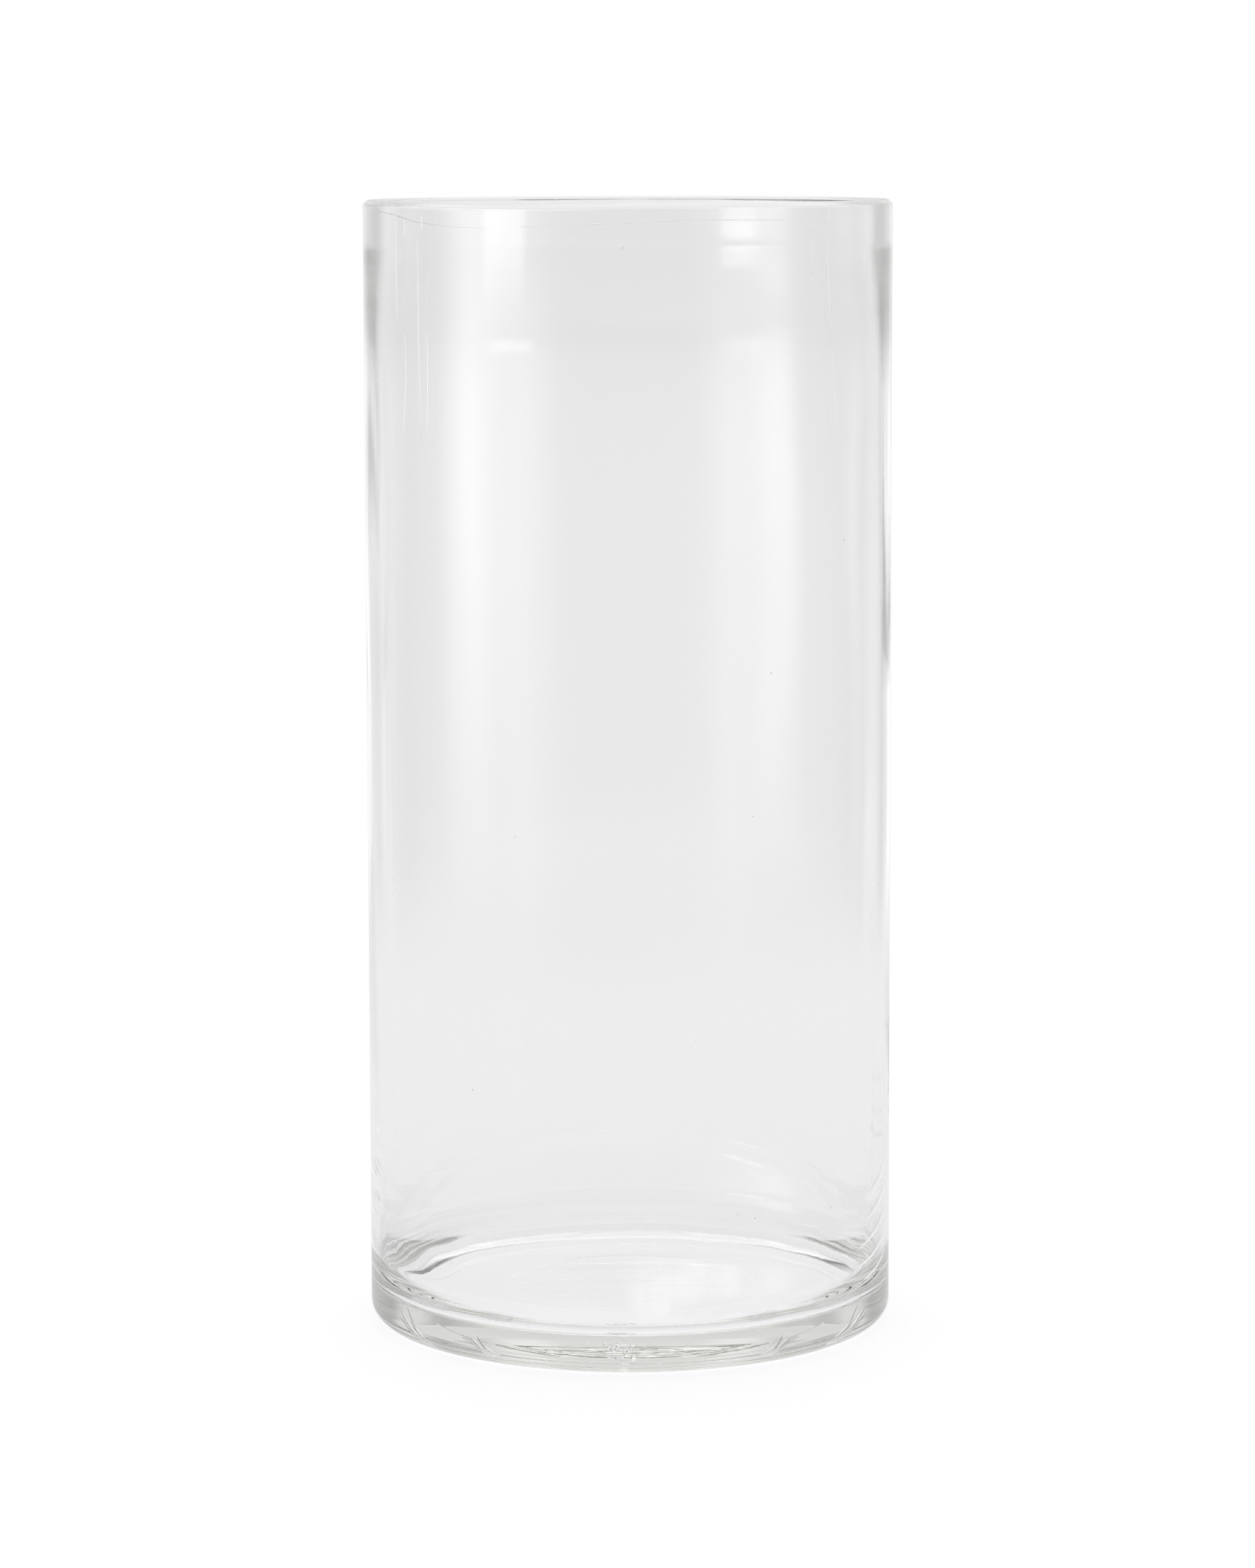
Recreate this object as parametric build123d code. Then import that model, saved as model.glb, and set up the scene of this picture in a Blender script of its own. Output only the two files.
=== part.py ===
from build123d import *
import os

# Glass cylinder vase: one body of clear blown glass, revolved about +Z.
# Millimetres. The origin is the centre of the resting plane, on the vase's axis.

# Overall size
OUTSIDE_RADIUS = 70.0
HEIGHT = 300.0

# Wall: thin for most of its height, and thick at the cut rim
WALL = 1.8
RIM_WALL = 4.4
RIM_LAND = 11.0
RIM_TAPER = 28.0

# Rim: cut flat, with both edges bevelled at 45 degrees
OUTER_BEVEL = 1.2
INNER_BEVEL = 0.6

# Base: a thick floor whose corner turns softly into the wall, in three tangent arcs
FLOOR = 8.6
WALL_BLEND_RADIUS = 15.0
WALL_BLEND_TURN = 32.0
CORNER_RADIUS = 7.0
CORNER_TURN = 48.0
DISH_RADIUS = 44.0
DISH_TURN = 90.0 - WALL_BLEND_TURN - CORNER_TURN

# Underside: a rounded heel, a flat foot ring and a very shallow domed recess
HEEL_RADIUS = 5.3
RECESS_RADIUS = 34.5
RECESS_DEPTH = 0.25

DOWN = (0, -1)
UP = (0, 1)
OUTWARD = (1, 0)


def underside_and_outside():
    """The outline from the middle of the underside, round the heel, up to the rim's inner edge."""
    recess_top = (0, RECESS_DEPTH)
    recess_edge = (RECESS_RADIUS, 0)
    heel_start = (OUTSIDE_RADIUS - HEEL_RADIUS, 0)
    heel_end = (OUTSIDE_RADIUS, HEEL_RADIUS)
    bevel_start = (OUTSIDE_RADIUS, HEIGHT - OUTER_BEVEL)
    bevel_end = (OUTSIDE_RADIUS - OUTER_BEVEL, HEIGHT)
    mouth_radius = OUTSIDE_RADIUS - RIM_WALL
    rim_inner_edge = (mouth_radius + INNER_BEVEL, HEIGHT)
    land_top = (mouth_radius, HEIGHT - INNER_BEVEL)
    TangentArc(recess_top, recess_edge, tangent=OUTWARD)
    Line(recess_edge, heel_start)
    TangentArc(heel_start, heel_end, tangent=OUTWARD)
    Polyline(heel_end, bevel_start, bevel_end, rim_inner_edge, land_top)
    return land_top


def inside(land_top):
    """The outline down the inside: mouth land, taper to the thin wall, soft corner and flat floor."""
    land_end = (land_top[0], HEIGHT - RIM_LAND)
    wall_radius = OUTSIDE_RADIUS - WALL
    wall_top = (wall_radius, land_end[1] - RIM_TAPER)
    taper_middle = ((land_end[0] + wall_top[0]) / 2, (land_end[1] + wall_top[1]) / 2)
    Line(land_top, land_end)
    TangentArc(land_end, taper_middle, tangent=DOWN)
    TangentArc(wall_top, taper_middle, tangent=UP)

    # The corner is laid out from a free start, to find its height, and again where it belongs
    with BuildLine(mode=Mode.PRIVATE):
        trial_end = soft_corner((wall_radius, 0))
    wall_bottom = (wall_radius, FLOOR - trial_end.Y)
    Line(wall_top, wall_bottom)
    floor_edge = soft_corner(wall_bottom)
    Line((floor_edge.X, FLOOR), (0, FLOOR))


def soft_corner(start):
    """Three tangent arcs that turn the wall, going down, into the floor; returns where they end."""
    blend = JernArc(start, DOWN, WALL_BLEND_RADIUS, -WALL_BLEND_TURN)
    corner = JernArc(blend @ 1, blend % 1, CORNER_RADIUS, -CORNER_TURN)
    dish = JernArc(corner @ 1, corner % 1, DISH_RADIUS, -DISH_TURN)
    return dish @ 1


def glass_vase():
    """The whole vase: its half section turned once about the axis."""
    with BuildPart() as vase:
        with BuildSketch(Plane.XZ):
            with BuildLine():
                inside(underside_and_outside())
                Line((0, FLOOR), (0, RECESS_DEPTH))
            make_face()
        revolve(axis=Axis.Z)
    return vase.part


os.makedirs("parts", exist_ok=True)
export_step(glass_vase(), "parts/glass_vase.step")
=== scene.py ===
import math

import bpy
import numpy as np
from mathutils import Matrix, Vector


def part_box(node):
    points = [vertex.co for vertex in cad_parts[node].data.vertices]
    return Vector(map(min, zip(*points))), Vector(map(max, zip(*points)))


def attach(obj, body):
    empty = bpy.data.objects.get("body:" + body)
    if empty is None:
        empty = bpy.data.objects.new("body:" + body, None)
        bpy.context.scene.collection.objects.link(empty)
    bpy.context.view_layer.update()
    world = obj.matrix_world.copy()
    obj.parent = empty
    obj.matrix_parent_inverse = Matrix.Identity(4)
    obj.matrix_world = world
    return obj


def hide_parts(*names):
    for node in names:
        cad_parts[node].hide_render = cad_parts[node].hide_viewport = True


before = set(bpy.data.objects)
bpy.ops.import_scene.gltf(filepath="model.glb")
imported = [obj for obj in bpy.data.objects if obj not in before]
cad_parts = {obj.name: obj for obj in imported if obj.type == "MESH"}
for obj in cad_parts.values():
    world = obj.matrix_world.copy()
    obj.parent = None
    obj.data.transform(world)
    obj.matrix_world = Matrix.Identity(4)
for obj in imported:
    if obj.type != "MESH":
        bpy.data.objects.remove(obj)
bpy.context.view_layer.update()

MM = 0.001
node_low, node_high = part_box("glass_vase")
RADIUS = min(node_high[0], node_high[1], -node_low[0], -node_low[1]) / MM
HEIGHT = (node_high[2] - node_low[2]) / MM

# Section of the glass, in millimetres: the solid's own numbers, with the edges softened and a faint
# groove pressed in the edge of the recess
WALL = 1.8
RIM_WALL = 4.4
RIM_LAND = 11.0
RIM_TAPER = 28.0
OUTER_BEVEL = 1.2
INNER_BEVEL = 0.6
EDGE_SOFTNESS = 0.25
FLOOR = 8.6
WALL_BLEND_RADIUS = 15.0
WALL_BLEND_TURN = 32.0
CORNER_RADIUS = 7.0
CORNER_TURN = 48.0
DISH_RADIUS = 44.0
HEEL_RADIUS = 5.3
RECESS_RADIUS = 34.5
RECESS_DEPTH = 0.25
RING_WIDTH = 1.0
RING_DEPTH = 0.015

MOUTH_RADIUS = RADIUS - RIM_WALL
WALL_RADIUS = RADIUS - WALL
SEGMENTS = 300

# The taper under the rim runs straight down this share of its length and then rounds into the wall
TAPER_STRAIGHT = 0.6
TAPER_SLOPE = 1.25
# Below this height the wall's rows are close enough together for its wrinkles
WRINKLED_TOP = 80.0

# The front left of the rim leans in: by how much, from what height up, and where it is, in degrees
RIM_LEAN = 0.45
RIM_LEAN_START = 264.0
RIM_LEAN_TURN = -28
RIM_LEAN_WIDTH = 30

# How far the inside is off centre, and the size of the long and short tool marks on the floor
UNEVEN = 0.12
TOOLED = (0.006, 0.004)

# Where the relief comes and goes, each as a height and the length that it takes
WAVES_FROM = (14, 12)
WAVES_CALMER_FROM = (262, 26)
CALMER_BY = 0.75
WRINKLES_FROM = (24, 8)
WRINKLES_GONE_FROM = (36, 40)
OUTSIDE_WAVES_FROM = (HEEL_RADIUS, 30)
OUTSIDE_WAVES_GONE_FROM = (285, 12)
FLOOR_MARKS_GONE_FROM = (FLOOR + 0.1, 1.0)
# The same for the tool marks, as a distance from the axis
FLOOR_MARKS_GONE_OUT = (22, 14)


def ease(share):
    """A smooth step from 0 to 1 as share goes from 0 to 1."""
    share = np.clip(share, 0.0, 1.0)
    return share * share * (3 - 2 * share)


def past(value, start, length):
    """0 up to start, easing to 1 over the length after it."""
    return ease((value - start) / length)


def arc(centre, radius, start, end, steps):
    """Points on an arc, start and end in degrees, without its first point."""
    turns = np.radians(np.linspace(start, end, steps + 1)[1:])
    return [(centre[0] + radius * math.cos(t), centre[1] + radius * math.sin(t)) for t in turns]


def line(start, end, steps):
    """Points on a straight run, without its first point."""
    shares = np.linspace(0, 1, steps + 1)[1:]
    return [tuple(np.array(start) * (1 - s) + np.array(end) * s) for s in shares]


def softened(before, corner, after):
    """Three points that round a corner between two straight runs."""
    b, c, a = (np.array(p) for p in (before, corner, after))
    start = c + (b - c) / np.linalg.norm(b - c) * EDGE_SOFTNESS
    end = c + (a - c) / np.linalg.norm(a - c) * EDGE_SOFTNESS
    middle = (start + end) / 4 + c / 2
    return [tuple(start), tuple(middle), tuple(end)]


def flat(start, end, steps):
    """Points on a straight run with one close to each end, so that its shading stays flat."""
    start, end = np.array(start), np.array(end)
    near = (end - start) / np.linalg.norm(end - start) * EDGE_SOFTNESS
    return [tuple(start + near)] + line(start + near, end - near, steps) + [tuple(end)]


def outside_outline():
    """Radius and height from the middle of the underside, round the heel and over the rim."""
    ring_start = RECESS_RADIUS - RING_WIDTH
    dome = np.linspace(0, ring_start, 20)
    ring = np.linspace(ring_start, RECESS_RADIUS, 9)[1:]
    radii = np.concatenate([dome, ring])
    groove = RING_DEPTH * np.sin(math.pi * np.clip((radii - ring_start) / RING_WIDTH, 0, 1)) ** 2
    points = list(zip(radii, RECESS_DEPTH * (1 - (radii / RECESS_RADIUS) ** 2) + groove))
    points += line(points[-1], (RADIUS - HEEL_RADIUS, 0.0), 8)
    points += arc((RADIUS - HEEL_RADIUS, HEEL_RADIUS), HEEL_RADIUS, -90, 0, 12)
    corners = [
        (RADIUS, HEEL_RADIUS),
        (RADIUS, HEIGHT - OUTER_BEVEL),
        (RADIUS - OUTER_BEVEL, HEIGHT),
        (MOUTH_RADIUS + INNER_BEVEL, HEIGHT),
        (MOUTH_RADIUS, HEIGHT - INNER_BEVEL),
        (MOUTH_RADIUS, HEIGHT - RIM_LAND),
    ]
    rim = [softened(*corners[k : k + 3]) for k in range(4)]
    points += line(points[-1], (RADIUS, HEIGHT - RIM_LAND), 38)
    points += flat(points[-1], rim[0][0], 9) + rim[0][1:]
    points += flat(rim[0][-1], rim[1][0], 1) + rim[1][1:]
    points += flat(rim[1][-1], rim[2][0], 1) + rim[2][1:]
    points += flat(rim[2][-1], rim[3][0], 1)[1:] + rim[3][1:]
    return points


def inside_outline(start):
    """Radius and height down the inside, from under the rim to the middle of the floor."""
    land_end = (MOUTH_RADIUS, HEIGHT - RIM_LAND)
    points = flat(start, land_end, 8)
    taper_end = (WALL_RADIUS, land_end[1] - RIM_TAPER)
    shares = np.linspace(0, 1, 17)[1:]
    rounding = TAPER_SLOPE / 2 / (1 - TAPER_STRAIGHT)
    widened = TAPER_SLOPE * shares - rounding * np.clip(shares - TAPER_STRAIGHT, 0, 1) ** 2
    taper_radii = MOUTH_RADIUS + (WALL_RADIUS - MOUTH_RADIUS) * widened
    points += list(zip(taper_radii, land_end[1] - RIM_TAPER * shares))
    a1 = math.radians(WALL_BLEND_TURN)
    a2 = math.radians(WALL_BLEND_TURN + CORNER_TURN)
    rise = WALL_BLEND_RADIUS * math.sin(a1)
    rise += CORNER_RADIUS * (math.sin(a2) - math.sin(a1))
    rise += DISH_RADIUS * (1 - math.sin(a2))
    wall_end = (WALL_RADIUS, FLOOR + rise)
    wrinkled_top = (WALL_RADIUS, WRINKLED_TOP)
    points += line(taper_end, wrinkled_top, 42)
    points += line(wrinkled_top, wall_end, 56)
    centre = (WALL_RADIUS - WALL_BLEND_RADIUS, wall_end[1])
    points += arc(centre, WALL_BLEND_RADIUS, 0, -WALL_BLEND_TURN, 12)
    end = points[-1]
    centre = (end[0] - CORNER_RADIUS * math.cos(a1), end[1] + CORNER_RADIUS * math.sin(a1))
    points += arc(centre, CORNER_RADIUS, -WALL_BLEND_TURN, -WALL_BLEND_TURN - CORNER_TURN, 14)
    end = points[-1]
    centre = (end[0] - DISH_RADIUS * math.cos(a2), end[1] + DISH_RADIUS * math.sin(a2))
    points += arc(centre, DISH_RADIUS, -WALL_BLEND_TURN - CORNER_TURN, -90, 10)
    points += line(points[-1], (0.0, FLOOR), 24)
    return points


# Blown glass isn't true: its inside wanders by long soft waves, given as size in millimetres,
# waves round the vase, the height of one wave up it, and where each starts
LONG_WAVES = (
    (0.100, 2, 190, 0.4),
    (0.070, 3, 130, 2.1),
    (0.050, 5, 95, 4.0),
    (0.035, 8, 160, 1.3),
    (0.022, 13, 210, 5.2),
    (0.018, 21, 260, 3.3),
    (0.011, 34, 300, 0.9),
)
# Its outside was turned in a wooden block, so it is truer
OUTSIDE_WAVES = ((0.018, 3, 150, 1.0), (0.012, 7, 110, 3.7), (0.005, 16, 240, 2.2))
# Wrinkles from the block's cold bottom, low on the inside of the wall
WRINKLES = ((0.050, 3, 7.3, 0.0), (0.035, -5, 5.1, 1.9), (0.030, 9, 9.7, 3.1))


def waves(table, turn, z):
    """The sum of a table's waves at a point, in millimetres."""
    return sum(a * np.cos(m * turn + 2 * math.pi * z / up + start) for a, m, up, start in table)


def inside_relief(turn, r, z):
    """How far the inside stands proud of the plain section, in millimetres."""
    wall = past(z, *WAVES_FROM) * (1 - CALMER_BY * past(z, *WAVES_CALMER_FROM))
    uneven = UNEVEN * np.sin(-turn)
    sides = np.sin(turn) ** 8
    wrinkled = past(z, *WRINKLES_FROM) * (1 - past(z, *WRINKLES_GONE_FROM)) * sides
    floor = 1 - past(z, *FLOOR_MARKS_GONE_FROM)
    x, y = r * np.sin(turn), -r * np.cos(turn)
    long_marks = np.cos(2 * math.pi * (x / 47 + y / 13))
    short_marks = np.cos(2 * math.pi * (y / 8.3 - x / 90) + 1)
    tooled = TOOLED[0] * long_marks + TOOLED[1] * short_marks
    middle = 1 - past(r, *FLOOR_MARKS_GONE_OUT)
    body = wall * (uneven + waves(LONG_WAVES, turn, z)) + wrinkled * waves(WRINKLES, turn, z)
    return body + floor * middle * tooled


def outside_relief(turn, r, z):
    """How far the outside is worn or drawn in, never proud of the plain section."""
    wall = past(z, *OUTSIDE_WAVES_FROM) * (1 - past(z, *OUTSIDE_WAVES_GONE_FROM))
    top = sum(row[0] for row in OUTSIDE_WAVES)
    off = abs((np.degrees(turn) - RIM_LEAN_TURN + 180) % 360 - 180)
    front_left = 1 - ease(off / RIM_LEAN_WIDTH)
    leaning_in = front_left * np.clip((z - RIM_LEAN_START) / (HEIGHT - RIM_LEAN_START), 0, 1) ** 2
    return wall * (waves(OUTSIDE_WAVES, turn, z) - top) - RIM_LEAN * leaning_in


def place(turn, radius, z):
    """A point of the object in millimetres: turn is in radians from the front, towards +X."""
    return np.stack([radius * np.sin(turn), -radius * np.cos(turn), z + 0 * turn], axis=-1)


class Shells:
    """Gathers closed shells, so that the glass and the air in it are one mesh."""

    def __init__(self):
        self.verts = []
        self.faces = []
        self.slots = []

    def rings(self, rows, first, last, slot=0, air=False):
        """A closed shell from rows of points, each a closed ring, and its two end points."""
        base = len(self.verts)
        count, across = rows.shape[0], rows.shape[1]
        self.verts += rows.reshape(-1, 3).tolist() + [list(first), list(last)]
        start, end = base + count * across, base + count * across + 1
        last_row = base + (count - 1) * across
        faces = []
        for j in range(across):
            k = (j + 1) % across
            faces.append((start, base + k, base + j))
            for i in range(count - 1):
                low, high = base + i * across, base + (i + 1) * across
                faces.append((low + j, low + k, high + k, high + j))
            faces.append((end, last_row + j, last_row + k))
        self.faces += [f[::-1] for f in faces] if air else faces
        self.slots += [slot] * len(faces)

    def bubble(self, centre, half_sizes, lumps=0.0, seed=0, slot=0, air=True):
        """A seed: an ellipsoid that faces inwards if it is air, because the glass is outside it."""
        across, up = 10, 7
        spins = 2 * math.pi * np.arange(across) / across
        tilts = np.radians(np.linspace(-90, 90, up + 2)[1:-1])
        unit = np.stack([
            np.outer(np.cos(tilts), np.cos(spins)),
            np.outer(np.cos(tilts), np.sin(spins)),
            np.outer(np.sin(tilts), np.ones(across)),
        ], axis=-1)
        if lumps:
            unit = unit * (1 + lumps * np.random.default_rng(seed).uniform(-1, 1, (up, across, 1)))
        centre, size = np.array(centre), np.array(half_sizes)
        top = size * (0, 0, 1)
        self.rings(centre + unit * size, centre - top, centre + top, slot=slot, air=air)

    def thread(self, path, half_width, half_depth, slot=0, air=True):
        """A thread along a path of turns in degrees, depths under the outside and heights."""
        path = np.array(path, dtype=float)
        count, across = 22, 6
        knots = np.linspace(0, 1, len(path))
        shares = np.linspace(0, 1, count)
        turn, depth, z = (np.interp(shares, knots, path[:, k]) for k in range(3))
        turn = np.radians(turn)
        taper = np.sqrt(np.clip(4 * shares * (1 - shares), 0.03, 1))[:, None]
        middle = place(turn, RADIUS + outside_relief(turn, RADIUS, z) - depth, z)
        along = np.gradient(middle, axis=0)
        along /= np.linalg.norm(along, axis=1)[:, None]
        inward = place(turn, -1.0, 0 * z)
        sideways = np.cross(inward, along)
        spins = 2 * math.pi * np.arange(across) / across
        rows = np.stack([
            middle + taper * (sideways * half_width * math.cos(s) + inward * half_depth * math.sin(s))
            for s in spins
        ], axis=1)
        self.rings(rows, middle[0], middle[-1], slot=slot, air=air)

    def make(self, name):
        """One object from all the shells."""
        mesh = bpy.data.meshes.new(name)
        mesh.from_pydata((np.array(self.verts) * MM).tolist(), [], self.faces)
        mesh.polygons.foreach_set("material_index", self.slots)
        mesh.shade_smooth()
        mesh.update()
        obj = bpy.data.objects.new(name, mesh)
        bpy.context.collection.objects.link(obj)
        return obj


def add_body(shells):
    """The glass itself: its outline turned about +Z, with the relief of its inside and outside."""
    outside = outside_outline()
    outline = np.array(outside + inside_outline(outside[-1]))
    along = np.gradient(outline, axis=0)
    along /= np.linalg.norm(along, axis=1)[:, None]
    turn = 2 * math.pi * np.arange(SEGMENTS)[None, :] / SEGMENTS
    r, z = outline[:, 0:1], outline[:, 1:2]
    is_outside = np.arange(len(outline))[:, None] < len(outside)
    relief = np.where(is_outside, outside_relief(turn, r, z), inside_relief(turn, r, z))
    r = r + relief * along[:, 1:2]
    z = z - relief * along[:, 0:1]
    rows = np.stack([r * np.sin(turn), -r * np.cos(turn), z], axis=-1)
    shells.rings(rows[1:-1], (0, 0, RECESS_DEPTH), (0, 0, FLOOR))


# Fine lines drawn in the outside, which glow as a painted glint: turn in degrees from the front towards
# +X, depth and height
LINES = (
    ((-58.4, 0.02, 298.0), (-58.3, 0.02, 283.0), (-58.0, 0.02, 268.5)),
    ((-54.9, 0.02, 296.0), (-54.8, 0.02, 293.5), (-54.7, 0.02, 290.5)),
    ((-54.9, 0.02, 268.0), (-54.6, 0.02, 254.0), (-56.0, 0.02, 239.0)),
    ((-47.2, 0.02, 268.0), (-47.0, 0.02, 256.0), (-47.4, 0.02, 240.0)),
    ((-48.7, 0.02, 297.0), (-48.7, 0.02, 295.0), (-48.6, 0.02, 293.0)),
    ((-50.3, 0.03, 298.0), (-50.0, 0.03, 270.0), (-49.4, 0.03, 236.0)),
    ((46.1, 0.02, 294.0), (46.9, 0.02, 281.0), (47.7, 0.02, 266.0)),
    ((48.2, 0.02, 264.0), (49.0, 0.02, 250.0), (50.2, 0.02, 238.0)),
    ((47.0, 0.02, 298.0), (47.0, 0.02, 296.5), (46.9, 0.02, 295.0)),
    ((41.6, 0.03, 293.0), (41.8, 0.03, 287.0), (42.0, 0.03, 281.0)),
)
LINE_HALF_WIDTH = 0.15
# Lines and strokes are flat strips that lie in the surface
STRIP_HALF_DEPTH = 0.05
# Short frosty strokes low on the sides, in the glowing material: painted highlights that stand in for
# the light the edges of the lower wall reflect. Turn and height of both ends
GLINT_STROKES = (
    (78, 45.0, 66, 38.5), (79, 38.5, 62, 31.5), (78, 31.5, 59, 25.0), (76, 25.0, 58, 20.0),
    (78, 21.0, 61, 16.0), (-84, 44.0, -77, 40.5), (-84, 34.0, -77, 30.0), (-83, 23.5, -77, 20.0),
)
STROKE_HALF_WIDTH = 0.30
STROKE_DEPTH = 0.02
# Folds of air under the rim, in the same terms as the lines
FOLDS = (
    ((-70, 3.6, 297.4), (-61, 3.6, 296.6), (-52, 3.6, 294.9), (-42, 3.6, 293.9), (-30, 3.6, 293.4)),
    ((-24, 3.9, 293.9), (-6, 3.9, 294.8), (14, 3.9, 295.8), (36, 3.9, 295.4)),
)
FOLD_HALF_WIDTH = 0.12
FOLD_HALF_DEPTH = 0.22
# Chevrons low in the base: fans of strands that copy the dark and bright marks which the base's curved
# corner reflects, so painted reflections rather than creases in the glass. Each has the turn and height
# of its tip and of the corner that they spread towards. Every second strand is frosty, with the painted
# glow, and the rest are air.
PAINTED_CHEVRONS = ((-49, 2.6, -64, 10.4), (-29.5, 3.2, -39, 7.6), (29.5, 3.2, 39, 7.8), (49, 2.8, 68, 10.6))
CHEVRON_STRANDS = 7
CHEVRON_HALF_WIDTH = 0.45
CHEVRON_DEPTH = 0.8
CHEVRON_DEPTH_STEP = 0.5
# Seeds: turn, depth and height of each, and its half size
SEEDS = (
    (-1, 0.9, 288.8, 0.16), (31.5, 0.9, 180.6, 0.17), (27, 0.8, 144.0, 0.12), (-35.6, 0.8, 72.3, 0.17),
    (20, 0.9, 40.0, 0.13), (23.5, 0.9, 41.0, 0.15), (27.5, 0.9, 39.5, 0.15), (49, 0.9, 38.6, 0.14),
    (-152, 0.8, 121.0, 0.13), (118, 0.9, 207.0, 0.15), (163, 0.8, 62.0, 0.12), (-101, 0.9, 246.0, 0.13),
)
FLOOR_SEEDS = ((-11, 34, 4.6, 0.30), (-26, 47, 5.2, 0.26), (19, 22, 4.0, 0.22), (-5, 49, 6.0, 0.26))
# The knot of trapped air low in the front of the base; every third lump is frosty, with the painted
# glow
KNOT = (-2.0, -61.0, 5.6)
KNOT_SIZE = (4.2, 1.8, 2.6)
KNOT_LUMPS = 46


def add_air(shells):
    """The lines, strokes, folds, chevrons, seeds and the knot that show in the glass. The strokes are
    painted highlights and the chevrons painted reflections.
    """
    # The lines glow with the frosty material's painted glint
    for path in LINES:
        shells.thread(path, LINE_HALF_WIDTH, STRIP_HALF_DEPTH, slot=1, air=False)
    # The strokes are painted highlights
    for turn, z, end_turn, end_z in GLINT_STROKES:
        sagging = ((turn + end_turn) / 2, STROKE_DEPTH, (z + end_z) / 2 - 0.6)
        path = ((turn, STROKE_DEPTH, z), sagging, (end_turn, STROKE_DEPTH, end_z))
        shells.thread(path, STROKE_HALF_WIDTH, STRIP_HALF_DEPTH, slot=1, air=False)
    for path in FOLDS:
        shells.thread(path, FOLD_HALF_WIDTH, FOLD_HALF_DEPTH)
    # The chevrons are painted reflections, and their frosty strands glow
    for turn, z, end_turn, end_z in PAINTED_CHEVRONS:
        for k, share in enumerate(np.linspace(0, 1, CHEVRON_STRANDS)):
            reach = (end_turn - turn) * (0.55 + 0.9 * share * (1 - share) + 0.1 * share)
            rise = (end_z - z) * (1 - 0.75 * share)
            depth = CHEVRON_DEPTH + CHEVRON_DEPTH_STEP * k
            middle = (turn + 0.6 * reach, depth, z + 0.35 * rise)
            frosty = k % 2 == 1
            path = ((turn, depth, z), middle, (turn + reach, depth, z + rise))
            shells.thread(path, CHEVRON_HALF_WIDTH, CHEVRON_HALF_WIDTH, slot=int(frosty), air=not frosty)
    for turn, depth, z, size in SEEDS:
        shells.bubble(place(math.radians(turn), RADIUS - depth, z), (size, size, size * 1.3))
    for x, y, z, size in FLOOR_SEEDS:
        shells.bubble((x, y, z), (size * 1.6, size * 0.8, size * 0.6))
    rng = np.random.default_rng(19)
    for k in range(KNOT_LUMPS):
        centre = np.array(KNOT) + np.clip(rng.normal(0, 0.45, 3), -1.1, 1.1) * KNOT_SIZE
        size = rng.uniform(0.16, 0.55)
        frosty = k % 3 == 0
        half_sizes = (size * 1.4, size * 0.6, size)
        shells.bubble(centre, half_sizes, lumps=0.22, seed=k, slot=int(frosty), air=not frosty)


def put(node, socket, value):
    """Gives a node's input a number, or a link if value is another node's output."""
    if isinstance(value, (int, float)):
        node.inputs[socket].default_value = value
    else:
        node.id_data.links.new(value, node.inputs[socket])


def maths(nt, operation, *values):
    """The result of a sum on numbers or other nodes' outputs."""
    node = nt.nodes.new("ShaderNodeMath")
    node.operation = operation
    for k, value in enumerate(values):
        put(node, k, value)
    return node.outputs[0]


def ramp(nt, value, start, end, low=0.0, high=1.0):
    """A smooth step from low to high as value goes from start to end."""
    node = nt.nodes.new("ShaderNodeMapRange")
    node.interpolation_type = "SMOOTHSTEP"
    put(node, 0, value)
    for k, number in enumerate((start, end, low, high)):
        put(node, k + 1, number)
    return node.outputs[0]


def grain(nt, where, scale, stretch, detail=2.0):
    """Noise with so many features a metre, stretched along X, Y and Z."""
    node = nt.nodes.new("ShaderNodeMapping")
    node.vector_type = "TEXTURE"
    node.inputs["Scale"].default_value = stretch
    put(node, 0, where)
    noise = nt.nodes.new("ShaderNodeTexNoise")
    put(noise, "Vector", node.outputs[0])
    put(noise, "Scale", scale)
    put(noise, "Detail", detail)
    return noise.outputs[0]


# Surface of the glass, in metres: the depth of its marks, and then how rough the polished rim and the
# scuffs under the foot are
DRAW_MARKS = 0.000008
RIM_LINES = 0.000006
TOOL_MARKS = 0.000010
RIM_HAZE = 0.09
FOOT_SCUFFS = 0.20
# Where they show, as the heights or distances from the axis between which they come or go
DRAW_MARKS_COME = (0.012, 0.030)
DRAW_MARKS_GO = (0.296, 0.280)
RIM_LINES_COME = (0.270, 0.287)
RIM_LINES_GO = (0.2985, 0.2965)
TOOL_MARKS_OUT = (0.040, 0.026)
TOOL_MARKS_GO = (0.012, 0.011)
RIM_HAZE_COMES = (0.244, 0.262)
SCUFFS_OUT = (0.050, 0.060)
SCUFFS_GO = (0.0002, 0.0001)


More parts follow.
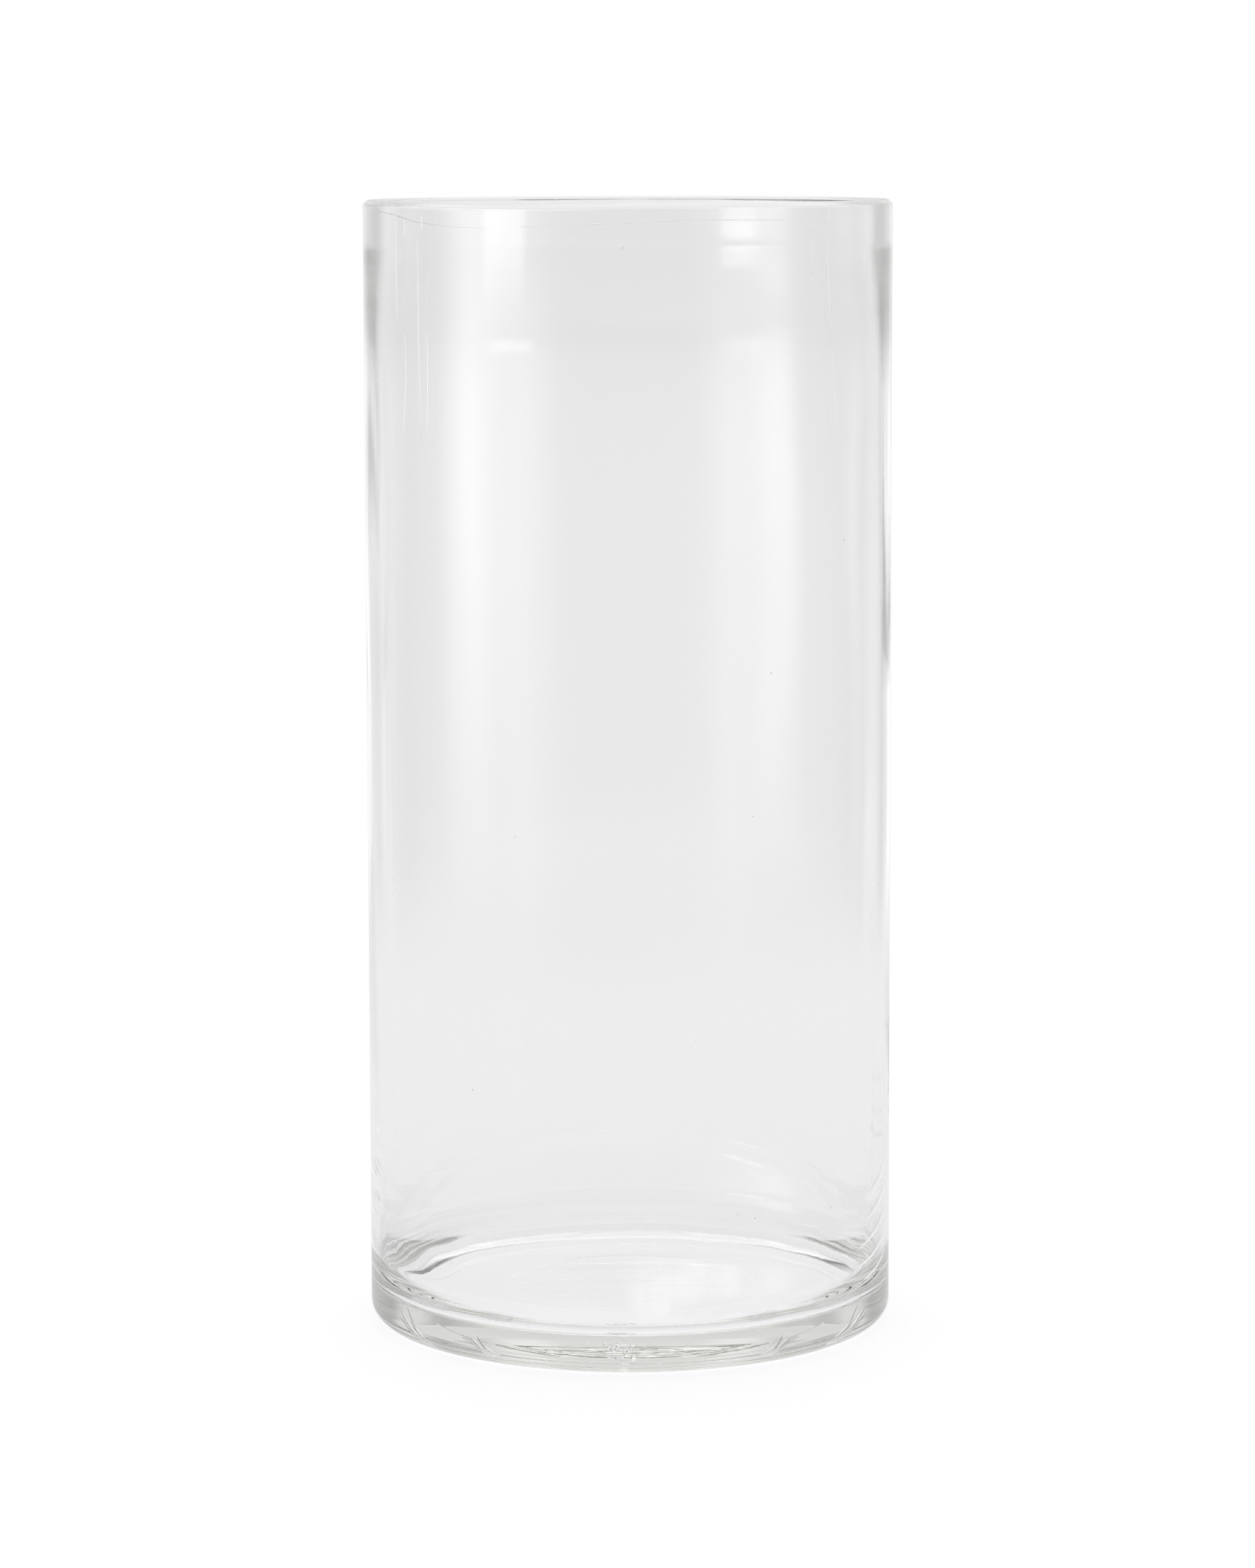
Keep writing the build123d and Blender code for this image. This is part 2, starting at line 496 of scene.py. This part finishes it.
def glass_material():
    """Clear soda-lime glass, with the marks that drawing, grinding and tools left on it."""
    mat = bpy.data.materials.new("clear_glass")
    mat.use_nodes = True
    nt = mat.node_tree
    p = nt.nodes["Principled BSDF"]
    p.inputs["Base Color"].default_value = (1, 1, 1, 1)
    p.inputs["IOR"].default_value = 1.52
    p.inputs["Transmission Weight"].default_value = 1.0

    where = nt.nodes.new("ShaderNodeTexCoord").outputs["Object"]
    xyz = nt.nodes.new("ShaderNodeSeparateXYZ")
    put(xyz, 0, where)
    x, y, z = xyz.outputs
    out = maths(nt, "SQRT", maths(nt, "ADD", maths(nt, "MULTIPLY", x, x), maths(nt, "MULTIPLY", y, y)))

    draw_marks = grain(nt, where, 420.0, (1, 1, 60), 3.0)
    rim_lines = grain(nt, where, 700.0, (16, 16, 1), 2.0)
    tool_marks = grain(nt, where, 380.0, (9, 1, 2), 2.0)
    in_rim = maths(nt, "MULTIPLY", ramp(nt, z, *RIM_LINES_COME), ramp(nt, z, *RIM_LINES_GO))
    on_wall = maths(nt, "MULTIPLY", ramp(nt, z, *DRAW_MARKS_COME), ramp(nt, z, *DRAW_MARKS_GO))
    on_floor = maths(nt, "MULTIPLY", ramp(nt, out, *TOOL_MARKS_OUT), ramp(nt, z, *TOOL_MARKS_GO))
    drawn = maths(nt, "MULTIPLY", draw_marks, maths(nt, "MULTIPLY", on_wall, DRAW_MARKS))
    ground = maths(nt, "MULTIPLY", rim_lines, maths(nt, "MULTIPLY", in_rim, RIM_LINES))
    tooled = maths(nt, "MULTIPLY", tool_marks, maths(nt, "MULTIPLY", on_floor, TOOL_MARKS))
    relief = maths(nt, "ADD", maths(nt, "ADD", drawn, ground), tooled)
    bump = nt.nodes.new("ShaderNodeBump")
    put(bump, "Height", relief)
    bump.inputs["Strength"].default_value = 1.0
    bump.inputs["Distance"].default_value = 1.0
    put(p, "Normal", bump.outputs[0])

    scuffs = ramp(nt, grain(nt, where, 260.0, (1, 1, 1), 4.0), 0.52, 0.70)
    on_foot = maths(nt, "MULTIPLY", ramp(nt, z, *SCUFFS_GO), ramp(nt, out, *SCUFFS_OUT))
    worn = maths(nt, "MULTIPLY", scuffs, maths(nt, "MULTIPLY", on_foot, FOOT_SCUFFS))
    put(p, "Roughness", maths(nt, "ADD", worn, ramp(nt, z, *RIM_HAZE_COMES, 0.0, RIM_HAZE)))

    tint = nt.nodes.new("ShaderNodeVolumeAbsorption")
    tint.inputs["Color"].default_value = (0.895, 0.90, 0.88, 1)
    tint.inputs["Density"].default_value = 14.0
    put(nt.nodes["Material Output"], "Volume", tint.outputs[0])
    return mat


def glowing_line_material():
    """The frosty glass of the drawn lines, strokes and lumps, with a painted glow that stands in for
    the glints they catch.
    """
    mat = bpy.data.materials.new("drawn_line_painted_glow")
    mat.use_nodes = True
    nt = mat.node_tree
    p = nt.nodes["Principled BSDF"]
    p.inputs["Base Color"].default_value = (0.95, 0.95, 0.94, 1)
    p.inputs["Specular IOR Level"].default_value = 0.3
    # The emission is a painted glint: the frosty pieces glow though they are no lamp
    p.inputs["Emission Color"].default_value = (1, 1, 1, 1)
    p.inputs["Emission Strength"].default_value = 0.30
    where = nt.nodes.new("ShaderNodeTexCoord").outputs["Object"]
    put(p, "Roughness", ramp(nt, grain(nt, where, 900.0, (1, 1, 4)), 0.3, 0.7, 0.45, 0.75))
    return mat


shells = Shells()
add_body(shells)
add_air(shells)
vase = shells.make("vase_glass")
vase.data.materials.append(glass_material())
vase.data.materials.append(glowing_line_material())
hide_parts("glass_vase")
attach(vase, "root")


# The room, as soft panels round the vase. Each has the turn of its middle, in degrees from the front
# towards +X, half its width, how far its sides fade, the height of its lower edge, how far that
# fades, and what it adds to the room's brightness. It goes on upwards until a second panel, with the
# opposite brightness, ends it.
ROOM = 0.80
PANELS = {
    "above the ground": (0, 400, 1, -11, 1.5, -0.38),
    "far ground, right": (45, 6, 14, -11, 1.5, 0.20),
    "far ground, right, top": (45, 6, 14, 0, 3, -0.20),
    "far ground, left": (-45, 6, 14, -11, 1.5, 0.20),
    "far ground, left, top": (-45, 6, 14, 0, 3, -0.20),
    "behind": (180, 20, 8, -11, 1.5, 0.49),
    "behind, high": (180, 28, 8, -2.5, 2.5, -0.05),
    "behind left": (-132, 8, 6, -11, 1.5, 0.38),
    "behind right": (134, 8, 6, -11, 1.5, 0.38),
    "left flag": (-155, 11, 6, -11, 1.5, 0.34),
    "left flag, dark": (-155, 11, 6, -4.0, 0.5, -0.24),
    "left flag, top": (-155, 11, 6, -3.0, 0.6, 0.17),
    "right flag": (157, 9, 6, -11, 1.5, 0.34),
    "right flag, bar": (157, 9, 6, -6.6, 0.2, -0.36),
    "right flag, gap": (157, 9, 6, -5.4, 0.4, 0.36),
    "right flag, dark": (157, 9, 6, -2.2, 1.0, -0.26),
    "right flag, top": (157, 9, 6, -2.4, 0.8, 0.20),
    "front": (0, 34, 24, -11, 1.5, -0.13),
    "window": (-74, 10, 9, -7, 4, 1.35),
    "window light": (-58, 14, 20, -7, 4, 0.85),
    "window, top": (-74, 10, 9, 20, 5, -1.35),
    "window light, top": (-58, 14, 20, 20, 5, -0.85),
    "bright pane": (-55, 9, 2, -0.9, 0.9, 2.8),
    "bright pane, top": (-55, 9, 2, 2.9, 1.2, -2.8),
    "far lamp": (179, 0.5, 0.5, 12, 2, 0.3),
    "walls, high": (0, 400, 1, 22, 4, 0.15),
    "ceiling": (0, 400, 1, 40, 6, 0.5),
}


def studio_world():
    """The room that the glass shows, and plain white to the camera itself."""
    world = bpy.data.worlds.new("studio")
    world.use_nodes = True
    nt = world.node_tree
    direction = nt.nodes.new("ShaderNodeTexCoord").outputs["Generated"]
    xyz = nt.nodes.new("ShaderNodeSeparateXYZ")
    put(xyz, 0, direction)
    x, y, z = xyz.outputs
    azimuth = maths(nt, "DEGREES", maths(nt, "ARCTAN2", x, maths(nt, "MULTIPLY", y, -1.0)))
    height = maths(nt, "DEGREES", maths(nt, "ARCSINE", z))
    light = ROOM
    for middle, half, edge, low, fade, adds in PANELS.values():
        turn = maths(nt, "WRAP", maths(nt, "SUBTRACT", azimuth, middle), 180.0, -180.0)
        side = ramp(nt, maths(nt, "ABSOLUTE", turn), half + edge, half - edge)
        above = ramp(nt, height, low - fade, low + fade)
        panel = maths(nt, "MULTIPLY", maths(nt, "MULTIPLY", side, above), adds)
        light = maths(nt, "ADD", light, panel)
    seen = nt.nodes.new("ShaderNodeLightPath").outputs["Is Camera Ray"]
    mix = nt.nodes.new("ShaderNodeMix")
    mix.data_type = "FLOAT"
    put(mix, 0, seen)
    put(mix, 2, light)
    put(mix, 3, 1.0)
    put(nt.nodes["Background"], "Strength", mix.outputs[0])
    nt.nodes["Background"].inputs["Color"].default_value = (1, 1, 1, 1)
    bpy.context.scene.world = world


# The table: a round top that fades out at its edge. It glows softly, so that it is as pale as the room,
# and a little more under the vase out to the foot's edge: a painted pool of light that stands in for
# the light the thick base gathers.
FLOOR_RADIUS = 0.73
FLOOR_FADE = 0.20
FLOOR_GLOW = 0.63
FLOOR_GLOW_SEEN = 0.82
FLOOR_ALBEDO = 0.25
FLOOR_SIDES = 96
FLOOR_GAP = 0.0002
PAINTED_POOL_RADIUS = 0.066
PAINTED_POOL_FADE = 0.004
PAINTED_POOL_LIGHT = 0.18


def studio_floor():
    """The plain pale table that the vase stands on."""
    mesh = bpy.data.meshes.new("floor")
    reach = FLOOR_RADIUS + FLOOR_FADE
    turn = 2 * math.pi * np.arange(FLOOR_SIDES) / FLOOR_SIDES
    verts = [(reach * math.cos(t), reach * math.sin(t), 0.0) for t in turn]
    mesh.from_pydata(verts, [], [tuple(range(FLOOR_SIDES))])
    floor = bpy.data.objects.new("floor", mesh)
    bpy.context.collection.objects.link(floor)
    floor.location.z = -FLOOR_GAP
    mat = bpy.data.materials.new("pale_floor")
    mat.use_nodes = True
    nt = mat.node_tree
    nt.nodes.remove(nt.nodes["Principled BSDF"])
    diffuse = nt.nodes.new("ShaderNodeBsdfDiffuse")
    diffuse.inputs["Color"].default_value = (FLOOR_ALBEDO, FLOOR_ALBEDO, FLOOR_ALBEDO, 1)
    glow = nt.nodes.new("ShaderNodeEmission")
    glow.inputs["Color"].default_value = (0.985, 0.985, 1.0, 1)
    seen = nt.nodes.new("ShaderNodeLightPath").outputs["Is Camera Ray"]
    length = nt.nodes.new("ShaderNodeVectorMath")
    length.operation = "LENGTH"
    put(length, 0, nt.nodes.new("ShaderNodeTexCoord").outputs["Object"])
    out = length.outputs["Value"]
    # Painted pool of light: extra glow on the table under the vase
    outer, inner = PAINTED_POOL_RADIUS + PAINTED_POOL_FADE, PAINTED_POOL_RADIUS - PAINTED_POOL_FADE
    under = ramp(nt, out, outer, inner, 0.0, PAINTED_POOL_LIGHT)
    everywhere = ramp(nt, seen, 0.0, 1.0, FLOOR_GLOW, FLOOR_GLOW_SEEN)
    put(glow, "Strength", maths(nt, "ADD", everywhere, under))
    add = nt.nodes.new("ShaderNodeAddShader")
    put(add, 0, diffuse.outputs[0])
    put(add, 1, glow.outputs[0])
    clear = nt.nodes.new("ShaderNodeBsdfTransparent")
    fade = ramp(nt, out, FLOOR_RADIUS + FLOOR_FADE, FLOOR_RADIUS - FLOOR_FADE)
    mix = nt.nodes.new("ShaderNodeMixShader")
    put(mix, 0, fade)
    put(mix, 1, clear.outputs[0])
    put(mix, 2, add.outputs[0])
    put(nt.nodes["Material Output"], "Surface", mix.outputs[0])
    mesh.materials.append(mat)


studio_world()
studio_floor()

# The camera: in front, 18 radii away and 4.53 radii above the table, looking a little down and
# rolled by about a tenth of a degree
cam_data = bpy.data.cameras.new("camera")
cam = bpy.data.objects.new("camera", cam_data)
bpy.context.collection.objects.link(cam)
bpy.context.scene.camera = cam
cam.location = (0, -18 * RADIUS * MM, 4.53 * RADIUS * MM)
cam.rotation_euler = (math.radians(90 - 6.303), math.radians(0.13), 0)
cam_data.lens = 108.87
cam_data.shift_y = -0.08

# Light turns back and forth many times inside the thick base and rim
BOUNCES = 80
scene = bpy.context.scene
scene.view_settings.view_transform = "Standard"
scene.cycles.max_bounces = BOUNCES
scene.cycles.transmission_bounces = BOUNCES
scene.cycles.glossy_bounces = BOUNCES
